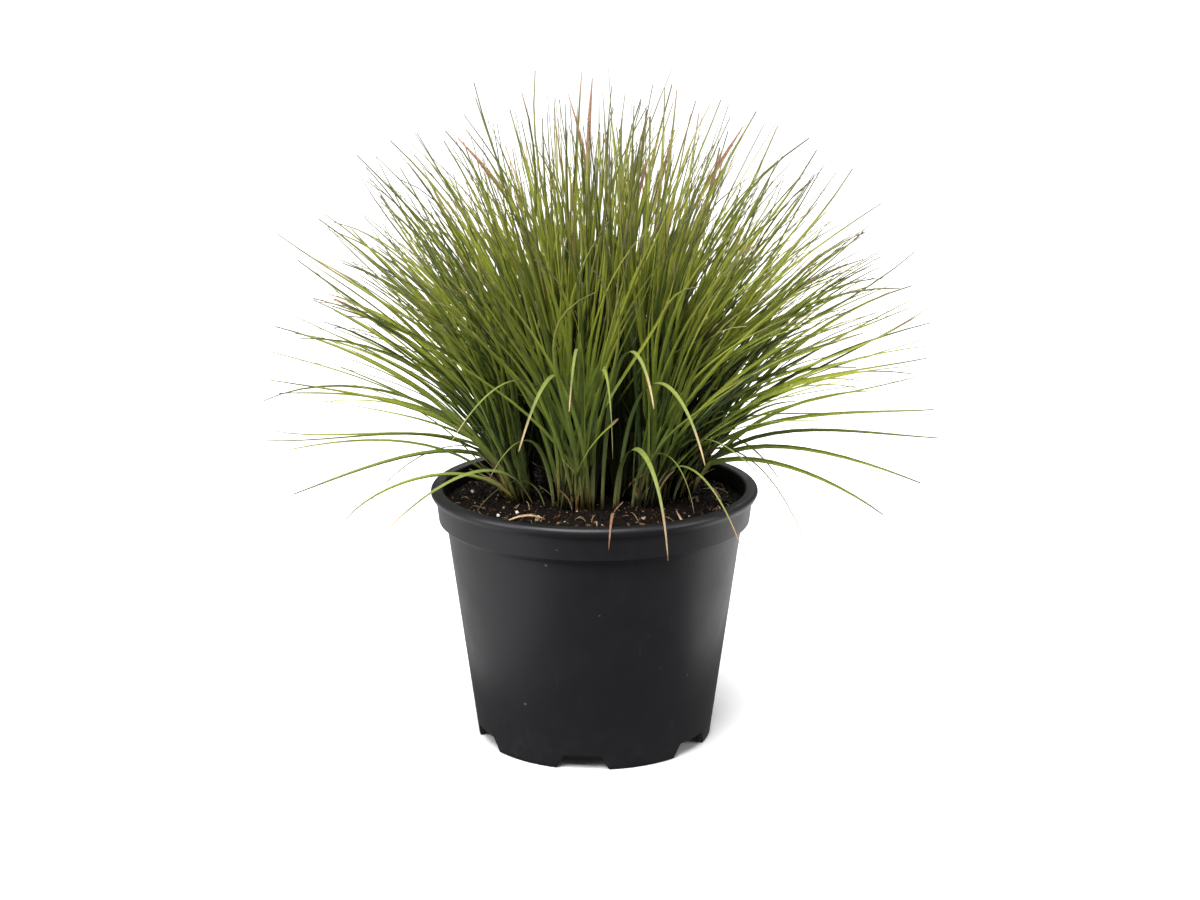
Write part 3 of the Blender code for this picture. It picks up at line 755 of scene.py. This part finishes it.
def make_soil():
    """The root ball: a closed turned body with a lumpy top."""
    shoulder = COLLAR_BOTTOM - WALL
    top_radii = np.linspace(POLE_RADIUS, SOIL_RADIUS, SOIL_RINGS)
    sides = np.array((
        (SOIL_RADIUS + 0.0001, SOIL_EDGE - 0.0010),
        (SOIL_RADIUS + 0.0001, shoulder + 0.002),
        (wall_radius(shoulder) - WALL - SOIL_GAP, shoulder),
        (wall_radius(FLOOR_TOP) - WALL - SOIL_GAP, FLOOR_TOP + 0.0030),
        (wall_radius(FLOOR_TOP) - WALL - 0.003, FLOOR_TOP + 0.0003),
        (POLE_RADIUS, FLOOR_TOP + 0.0003),
    ))
    headings = np.arange(SOIL_STEPS) * math.tau / SOIL_STEPS
    radii = np.concatenate((top_radii, sides[:, 0]))
    heights = np.concatenate((soil_height(top_radii, 0.0), sides[:, 1]))
    radius = np.repeat(radii[:, None], SOIL_STEPS, axis=1)
    height = np.repeat(heights[:, None], SOIL_STEPS, axis=1)
    for ring in range(SOIL_RINGS):
        for step, heading in enumerate(headings):
            x, y = radii[ring] * math.cos(heading), radii[ring] * math.sin(heading)
            height[ring, step] += rough_height(x, y)
    points, quads, caps = revolved(radius, height, headings)
    faces = quads + caps
    uv = turned_uv(len(radii), SOIL_STEPS, faces)
    mesh_piece("root_ball", points, faces, soil_material(), ["potting_soil"], uv=uv)


def icosphere(subdivisions):
    bm = bmesh.new()
    bmesh.ops.create_icosphere(bm, subdivisions=subdivisions, radius=0.5)
    points = np.array([v.co for v in bm.verts])
    faces = np.array([[v.index for v in f.verts] for f in bm.faces])
    bm.free()
    return points, faces


def random_turns(count, rng):
    """Rotation matrices from random unit quaternions."""
    w, x, y, z = unit(rng.normal(size=(count, 4))).T
    rows = (
        (1 - 2 * (y * y + z * z), 2 * (x * y - z * w), 2 * (x * z + y * w)),
        (2 * (x * y + z * w), 1 - 2 * (x * x + z * z), 2 * (y * z - x * w)),
        (2 * (x * z - y * w), 2 * (y * z + x * w), 1 - 2 * (x * x + y * y)),
    )
    return np.stack([np.stack(row, axis=-1) for row in rows], axis=1)


def scattered(count, rng, inner=0.0):
    """Places on the potting mix, evenly spread."""
    radius = SOIL_RADIUS * np.sqrt(rng.uniform(inner, 0.985, count))
    heading = rng.uniform(0, math.tau, count)
    x, y = radius * np.cos(heading), radius * np.sin(heading)
    height = soil_height(x, y) + np.array([rough_height(a, b) for a, b in zip(x, y)])
    return np.stack((x, y, height), axis=-1)


def lumps_piece(name, places, sizes, tint, detail, rng, material, nodes):
    """Joins many small irregular lumps into one mesh."""
    base, faces = icosphere(detail)
    count = len(places)
    shape = base[None] * (1 + rng.uniform(-0.28, 0.28, (count, len(base), 1)))
    shape = np.einsum("nij,nvj->nvi", random_turns(count, rng), shape * sizes[:, None, :])
    points = (shape + places[:, None, :]).reshape(-1, 3)
    all_faces = (faces[None] + np.arange(count)[:, None, None] * len(base)).reshape(-1, 3)
    return mesh_piece(
        name, points, all_faces, material, nodes,
        attributes={"tint": np.repeat(tint, len(base))}, smooth=False,
    )


def make_crumbs():
    """Crumbs of peat and flat chips of bark on the potting mix."""
    material = crumb_material()
    rng = np.random.default_rng(11)
    fine = rng.uniform(0.0006, 0.0019, (PEAT_CRUMBS, 1)) * rng.uniform(0.6, 1.3, (PEAT_CRUMBS, 3))
    lumps_piece(
        "peat_crumbs", scattered(PEAT_CRUMBS, rng), fine, rng.uniform(0, 1, PEAT_CRUMBS) ** 2.2, 1, rng,
        material, ["potting_soil"],
    )
    length = rng.uniform(0.0018, 0.0042, (BARK_CHIPS, 1))
    chips = length * rng.uniform((0.7, 0.35, 0.2), (1.6, 0.7, 0.45), (BARK_CHIPS, 3))
    lumps_piece(
        "bark_chips", scattered(BARK_CHIPS, rng, 0.15), chips, rng.uniform(0.30, 0.95, BARK_CHIPS), 2, rng,
        material, ["potting_soil"],
    )


# ---- leaves


def leaf_profile(stations, shoulder=0.48, sharpness=1.9):
    """A leaf's width along its length: narrow at its foot, widest low down, then a long taper."""
    t = np.linspace(0.0, 1.0, stations)
    low_down = shoulder + (1 - shoulder) * smooth_step(0.0, FULL_WIDTH_AT, t)
    return low_down * (1 - t**sharpness) + TIP_WIDTH


def stem_profile(stations):
    """The even width of a dry strip or fibre, which narrows near its tip."""
    return leaf_profile(stations, 0.8, 3.0)


def spike_profile(stations):
    """A rusty leaf's width: thin below, with a fuller end that comes to a point."""
    t = np.linspace(0.0, 1.0, stations)
    return 0.60 + 0.40 * smooth_step(0.70, 0.84, t) - 0.80 * smooth_step(0.88, 1.0, t)


def tufts():
    """Every tuft, in the CAD part's order."""
    for ring, count, share, first, leaves, tip_share, tip_spread in TUFT_RINGS:
        for i in range(count):
            name = f"tuft_{ring}" if count == 1 else f"tuft_{ring}_{i + 1}"
            heading = math.radians(first) + math.tau * i / count
            half_angle = math.pi / count * RING_FILL
            yield Tuft(name, share, heading, half_angle, leaves, tip_share, tip_spread)


def disc(count, rng):
    radius = np.sqrt(rng.uniform(0, 1, count))
    angle = rng.uniform(0, math.tau, count)
    return radius * np.cos(angle), radius * np.sin(angle)


def tuft_feet(tuft, count, rng):
    """Where a tuft's leaves leave the soil: a tight crown with gaps to its neighbours."""
    u, v = disc(count, rng)
    if tuft.share == 0.0:
        return crown_points(MIDDLE_CROWN * np.hypot(u, v), np.arctan2(v, u))
    share = tuft.share + u * CROWN_HALF_DEPTH * FEET_DEPTH
    return crown_points(share, tuft.heading + v * tuft.half_angle * FEET_BREADTH)


def tuft_of(lean, heading):
    """Number of the tuft that a leaf with this tip grows from."""
    share = (lean / widest_lean(heading)) ** (1 / SPREAD_POWER)
    ring = "middle" if share < MIDDLE_TIPS else "inner" if share < INNER_TIPS else "outer"
    found = [
        (abs((heading - tuft.heading + math.pi) % math.tau - math.pi), number)
        for number, tuft in enumerate(tufts()) if tuft.name.startswith("tuft_" + ring)
    ]
    return min(found)[1]


def special_tips(rng):
    """The longest leaves and the rusty ones: tips, rust, and the number of each one's tuft."""
    longest = np.array([(x, 0.0, z) for x, z in LONGEST_LEAVES])
    longest[:, 1] = rng.uniform(-0.03, 0.03, len(longest))
    tips = np.concatenate((longest, np.array(RUSTY_LEAVES)))
    rusty = np.arange(len(tips)) >= len(longest)
    lean, heading = lean_and_heading(tips)
    owner = np.array([tuft_of(a, b) for a, b in zip(lean, heading)])
    return tips, rusty, owner


def random_tips(tuft, rng):
    """Leaf tips inside the dome, and which leaves are the short ones that fill the tuft's middle."""
    count = tuft.leaves
    u, v = disc(count, rng)
    shares = tuft.tip_share + u * tuft.tip_spread + rng.normal(0, 0.07, count)
    is_short = rng.uniform(0, 1, count) > LONG_LEAVES
    stray = rng.normal(0, 1, count) * np.where(is_short, SHORT_STRAY, LONG_STRAY)
    headings = tuft.heading + v * tuft.half_angle * 1.2 + stray
    lean = widest_lean(headings) * np.clip(shares, 0.02, 1.06) ** SPREAD_POWER
    is_lifted = (lean > LOW_LEAN) & (rng.uniform(0, 1, count) < LIFTED_LEAVES)
    lean *= np.where(is_lifted | is_short, rng.uniform(*LIFTED_LEAN, count), 1.0)
    is_low = lean > LOW_LEAN
    long_reach = np.where(is_low, LOW_REACH, LONG_REACH) + rng.uniform(0, 0.19, count)
    long_reach += np.where(is_low, 0.0, rng.uniform(0, 0.10, count))
    reach = np.where(is_short, rng.uniform(*SHORT_REACH, count), long_reach)
    return tip_points(lean, headings, reach), is_short


def thatch(tuft, rng):
    """Short dead leaves low down in a tuft."""
    feet = tuft_feet(tuft, THATCH, rng)
    heading = tuft.heading + rng.uniform(-0.9, 0.9, THATCH)
    lean = rng.uniform(*THATCH_LEAN, THATCH)
    tips = feet + leaning(lean, heading) * rng.uniform(*THATCH_LENGTH, THATCH)[:, None]
    tips[:, 2] = np.maximum(tips[:, 2], soil_height(tips[:, 0], tips[:, 1]) + 0.002)
    return courses_between(feet, tips, lean, heading, rng), heading


def make_tuft(number, tuft, special, material):
    """A tuft's ordinary leaves, then its longest and rusty ones, then its thatch, as one mesh."""
    rng = np.random.default_rng(FIRST_SEED + number)
    tips, rusty, owner = special
    mine = owner == number
    own_tips, is_short = random_tips(tuft, rng)
    green_tips = np.concatenate((own_tips, tips[mine]))
    lean, heading = lean_and_heading(green_tips)
    green_feet = tuft_feet(tuft, len(green_tips), rng)
    green_courses = courses_between(green_feet, green_tips, lean, heading, rng)
    thatch_courses, thatch_heading = thatch(tuft, rng)
    courses = np.concatenate((green_courses, thatch_courses))
    count = len(courses)

    def mask(*parts):
        sizes = (tuft.leaves, mine.sum(), THATCH)
        return np.concatenate([np.broadcast_to(part, size) for part, size in zip(parts, sizes)])

    is_short = mask(is_short, False, False)
    is_rusty = mask(False, rusty[mine], False)
    is_long = mask(False, ~rusty[mine], False)
    is_thatch = mask(False, False, True)

    width = rng.uniform(*LEAF_WIDTH, count)
    width[is_rusty] = RUSTY_LEAF_WIDTH
    width[is_thatch] *= THATCH_WIDTH
    profile = np.repeat(leaf_profile(STATIONS)[None], count, axis=0)
    profile[is_rusty] = spike_profile(STATIONS)
    dead_from = np.clip(rng.normal(1.02, 0.06, count), 0.84, NEVER_DEAD)
    dead_from[is_rusty] = rng.uniform(0.78, 0.86, is_rusty.sum())
    dead_from[is_long] = NEVER_DEAD
    dead_from[is_thatch] = rng.uniform(-0.2, 0.5, THATCH)
    rust = rng.uniform(0, 0.9, count)
    rust[is_rusty] = 1.0
    least, most = SHADE_TO
    shade_to = least + (most - least) * (1 - smooth_step(*SHADE_EDGE, crown_share(courses[:, 0])))
    # Painted shade: the short leaves in the tuft's middle are darkened nearly to their tips, so that they
    # make a dark core
    shade_to[is_short] = rng.uniform(*SHORT_LEAF_SHADE, is_short.sum())
    blades = {"tint": rng.uniform(0, 1, count), "dead_from": dead_from, "rust": rust, "shade_to": shade_to}

    twist = np.stack((rng.uniform(-1.25, 1.25, count), rng.normal(0, 0.8, count)), axis=-1)
    width[is_long] = rng.uniform(*LONGEST_LEAF_WIDTH, is_long.sum())
    twist[is_long, 0] = rng.normal(1.4, 0.25, is_long.sum())
    twist[is_long, 1] = 0.0
    twist[is_rusty] = (1.3, 0.0)
    rings = leaf_rings(courses, np.concatenate((heading, thatch_heading)), width, twist, profile)
    leaf_piece(tuft.name + "_leaves", rings, blades, material, [tuft.name])


def make_tufts():
    material = leaf_material("Grass leaf", 0.0)
    special = special_tips(np.random.default_rng(3))
    for number, tuft in enumerate(tufts()):
        make_tuft(number, tuft, special, material)


def single_rings(points, width, twist, profile, **shape):
    """leaf_rings for one leaf or stem through four Bezier points."""
    course = np.array(points)
    flat = course[3] - course[0]
    heading = np.array([math.atan2(flat[1], flat[0])])
    return leaf_rings(course[None], heading, np.array([width]), np.array([twist]), profile, **shape)


def one_blade(tint=0.5, dead_from=-1.0, rust=0.0, shade_to=0.0):
    """A single blade's values for leaf_piece."""
    values = {"tint": tint, "dead_from": dead_from, "rust": rust, "shade_to": shade_to}
    return {key: np.array([value]) for key, value in values.items()}


def make_drooping_leaves():
    """Single leaves that bend over out of the clump, most with tan tips."""
    material = leaf_material("Bent grass leaf", 0.50)
    rng = np.random.default_rng(21)
    profile = leaf_profile(BENT_LEAF_STATIONS, 0.6, 2.2)
    for i, (angle, bend, fall, tip, width) in enumerate(DROOPING_LEAVES):
        foot = crown_points(np.array([BENT_LEAF_FOOT]), np.array([math.radians(angle)]))[0]
        end = np.array(tip)
        flat = (end - foot) * (1.0, 1.0, 0.0)
        # A Bezier curve's middle is an eighth of each end and three eighths of each point between them
        control_height = (bend - (foot[2] + end[2]) / 8) / 0.75
        rise = np.array((0.0, 0.0, control_height - foot[2]))
        points = (foot, foot + flat * 0.14 + rise, foot + flat * fall + rise, end)
        twist = (rng.normal(0, 0.25), rng.normal(0, 0.6))
        rings = single_rings(points, width * BENT_LEAF_WIDTH, twist, profile)
        blades = one_blade(rng.uniform(0.5, 1.0), rng.uniform(0.84, 0.95), rng.uniform(0.0, 0.55))
        name = f"drooping_leaf_{i + 1:02d}"
        leaf_piece(name + "_blade", rings, blades, material, [name])


# ---- litter


def stem_rings(points, width, flatness, twist):
    """A bent, flattened dry stem through four Bezier points."""
    profile = stem_profile(STEM_STATIONS)
    return single_rings(points, width, (0.0, twist), profile, fold=STEM_FOLD, thickness=width * flatness)


def lying(points, lift):
    """Four points that lie on the potting mix, the middle two raised by lift."""
    lifts = (0.0, lift, lift, 0.0)
    return [(x, y, soil_height(x, y) + 0.0013 + up) for (x, y), up in zip(points, lifts)]


def make_litter():
    """Dead leaves on the soil, and the forked dead stalk over the front of the rim."""
    straw = dead_material("Dry leaf", (0.30, 0.17, 0.09), (0.62, 0.44, 0.27))
    strips = (
        ((-0.050, -0.050), (-0.043, -0.049), (-0.035, -0.046), (-0.028, -0.045)),
        ((0.050, -0.052), (0.047, -0.046), (0.046, -0.038), (0.047, -0.031)),
        ((0.064, 0.020), (0.068, 0.014), (0.072, 0.006), (0.074, -0.003)),
    )
    for i, points in enumerate(strips):
        rings = stem_rings(lying(points, 0.004), STRAW_WIDTH, STRAW_THICKNESS, 1.2)
        name = f"dead_leaf_{i + 1}"
        leaf_piece(name + "_strip", rings, one_blade(), straw, [name])
    stalk = dead_material("Dead stalk", (0.12, 0.055, 0.032), (0.32, 0.17, 0.105))
    stalks = (
        ("dead_stalk", 0.0015, (
            (0.0112, -0.0560, 0.1450), (0.0106, -0.0760, 0.1580),
            (0.0092, -0.0980, 0.1580), (0.0080, -0.1010, 0.1400),
        )),
        ("dead_stalk_fork", 0.0010, (
            (0.0112, -0.0695, 0.1526), (0.0126, -0.0705, 0.1556),
            (0.0148, -0.0700, 0.1568), (0.0160, -0.0690, 0.1585),
        )),
    )
    for name, width, points in stalks:
        rings = stem_rings(points, width, STALK_THICKNESS, 0.6)
        leaf_piece(name + "_twig", rings, one_blade(), stalk, [name])


def make_grains():
    """Perlite grains and a seed husk on the potting mix."""
    rng = np.random.default_rng(31)
    perlite = perlite_material()
    grains = (
        ((-0.0440, -0.0300), (0.0021, 0.0019, 0.0017)),
        ((-0.0545, -0.0340), (0.0018, 0.0017, 0.0015)),
        ((-0.0720, 0.0180), (0.0019, 0.0020, 0.0016)),
        ((0.0250, 0.0680), (0.0022, 0.0018, 0.0017)),
    )
    for i, ((x, y), size) in enumerate(grains):
        place = np.array(((x, y, soil_height(x, y) + size[2] * 0.5),))
        lumps_piece(
            f"perlite_{i + 1}", place, np.array((size,)), np.ones(1), 3, rng, perlite,
            [f"perlite_grain_{i + 1}"],
        )
    husk = dead_material("Seed husk", (0.42, 0.32, 0.12), (0.66, 0.56, 0.28))
    place = np.array(((-0.0320, -0.0440, soil_height(-0.0320, -0.0440) + 0.0010),))
    size = np.array(((0.0026, 0.0042, 0.0016),))
    lumps_piece("husk", place, size, np.ones(1), 3, rng, husk, ["seed_husk"])


def make_fibres():
    """Root fibres and bits of dead leaf that lie on the potting mix."""
    rng = np.random.default_rng(41)
    count = ROOT_FIBRES
    level = np.full(count, math.pi / 2)
    feet = scattered(count, rng, 0.12)
    heading = rng.uniform(0, math.tau, count)
    length = rng.uniform(0.003, 0.014, count)[:, None]
    tips = feet + leaning(level, heading) * length
    outside = np.hypot(tips[:, 0], tips[:, 1]) > SOIL_RADIUS - 0.002
    tips[outside] = feet[outside] - (tips[outside] - feet[outside])
    tips[:, 2] = soil_height(tips[:, 0], tips[:, 1]) + rng.uniform(0.0005, 0.003, count)
    feet[:, 2] += 0.0006
    side = leaning(level, heading + math.pi / 2)
    bend = side * rng.normal(0, 0.14, count)[:, None] * length
    arch = np.zeros((count, 3))
    arch[:, 2] = rng.uniform(0.0003, 0.0025, count)
    second = feet * 0.67 + tips * 0.33 + bend + arch
    third = feet * 0.33 + tips * 0.67 - bend * 0.4 + arch
    courses = np.stack((feet, second, third, tips), axis=1)
    width = rng.uniform(0.0002, 0.0005, count)
    twist = rng.normal(0, 1.2, (count, 2))
    rings = leaf_rings(courses, heading, width, twist, stem_profile(FIBRE_STATIONS), thickness=0.0003)
    blades = {
        "tint": rng.uniform(0, 1, count),
        "dead_from": np.full(count, -1.0),
        "rust": rng.uniform(0, 0.9, count),
        "shade_to": np.zeros(count),
    }
    fibre = leaf_material("Dead fibres", 0.0)
    leaf_piece("soil_fibres", rings, blades, fibre, [])


# ---- stage


def add_light(name, place, target, size, energy):
    light = bpy.data.lights.new(name, "AREA")
    light.shape = "RECTANGLE"
    light.size, light.size_y = size
    light.energy = energy
    made = new_object(name, light)
    made.location = place
    made.rotation_euler = (Vector(target) - Vector(place)).to_track_quat("-Z", "Y").to_euler()
    made.visible_camera = False


def make_floor():
    """A pale floor that glossy and diffuse rays miss, so that it doesn't light the pot."""
    square = ((-1, -1), (1, -1), (1, 1), (-1, 1))
    corners = [(x * FLOOR_HALF, y * FLOOR_HALF, -FLOOR_DROP) for x, y in square]
    mesh = bpy.data.meshes.new("floor")
    mesh.from_pydata(corners, [], [(0, 1, 2, 3)])
    floor = new_object("floor", mesh)
    pale = Nodes("Pale floor")
    pale.put(pale.shader, "Emission Color", (1.0, 1.0, 1.0))
    distance = pale.add("ShaderNodeVectorMath", {"operation": "LENGTH"}, Vector=pale.place())
    glows = [
        pale.span(distance.outputs["Value"], start, full, 0.0, strength)
        for start, full, strength in (NEAR_GLOW, FAR_GLOW)
    ]
    pale.put(pale.shader, "Emission Strength", pale.math("ADD", *glows))
    mesh.materials.append(pale.surface((0.84, 0.84, 0.84), 0.9, 0.1))
    floor.visible_glossy = False
    floor.visible_diffuse = False


def make_stage():
    make_floor()
    for light in LIGHTS:
        add_light(*light)
    world = bpy.data.worlds.new("Studio")
    bpy.context.scene.world = world
    world.use_nodes = True
    sky = world.node_tree.nodes["Background"]
    sky.inputs["Color"].default_value = (1.0, 1.0, 1.0, 1.0)
    sky.inputs["Strength"].default_value = SKY_STRENGTH
    bpy.context.scene.view_settings.view_transform = "Standard"


def make_camera():
    camera = bpy.data.cameras.new("camera")
    camera.lens = CAMERA_LENS
    camera.sensor_width = 36.0
    made = new_object("camera", camera)
    made.location = CAMERA_PLACE
    made.rotation_euler = (CAMERA_PITCH, 0.0, 0.0)
    bpy.context.scene.camera = made


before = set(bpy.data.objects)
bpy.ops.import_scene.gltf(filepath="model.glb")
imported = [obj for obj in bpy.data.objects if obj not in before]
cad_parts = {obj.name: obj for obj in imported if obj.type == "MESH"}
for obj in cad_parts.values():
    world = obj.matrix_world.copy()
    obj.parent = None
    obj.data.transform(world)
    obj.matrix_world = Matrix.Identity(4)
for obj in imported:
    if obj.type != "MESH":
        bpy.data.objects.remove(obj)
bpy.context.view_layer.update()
make_pot()
make_soil()
make_crumbs()
make_fibres()
make_tufts()
make_drooping_leaves()
make_litter()
make_grains()
make_stage()
make_camera()
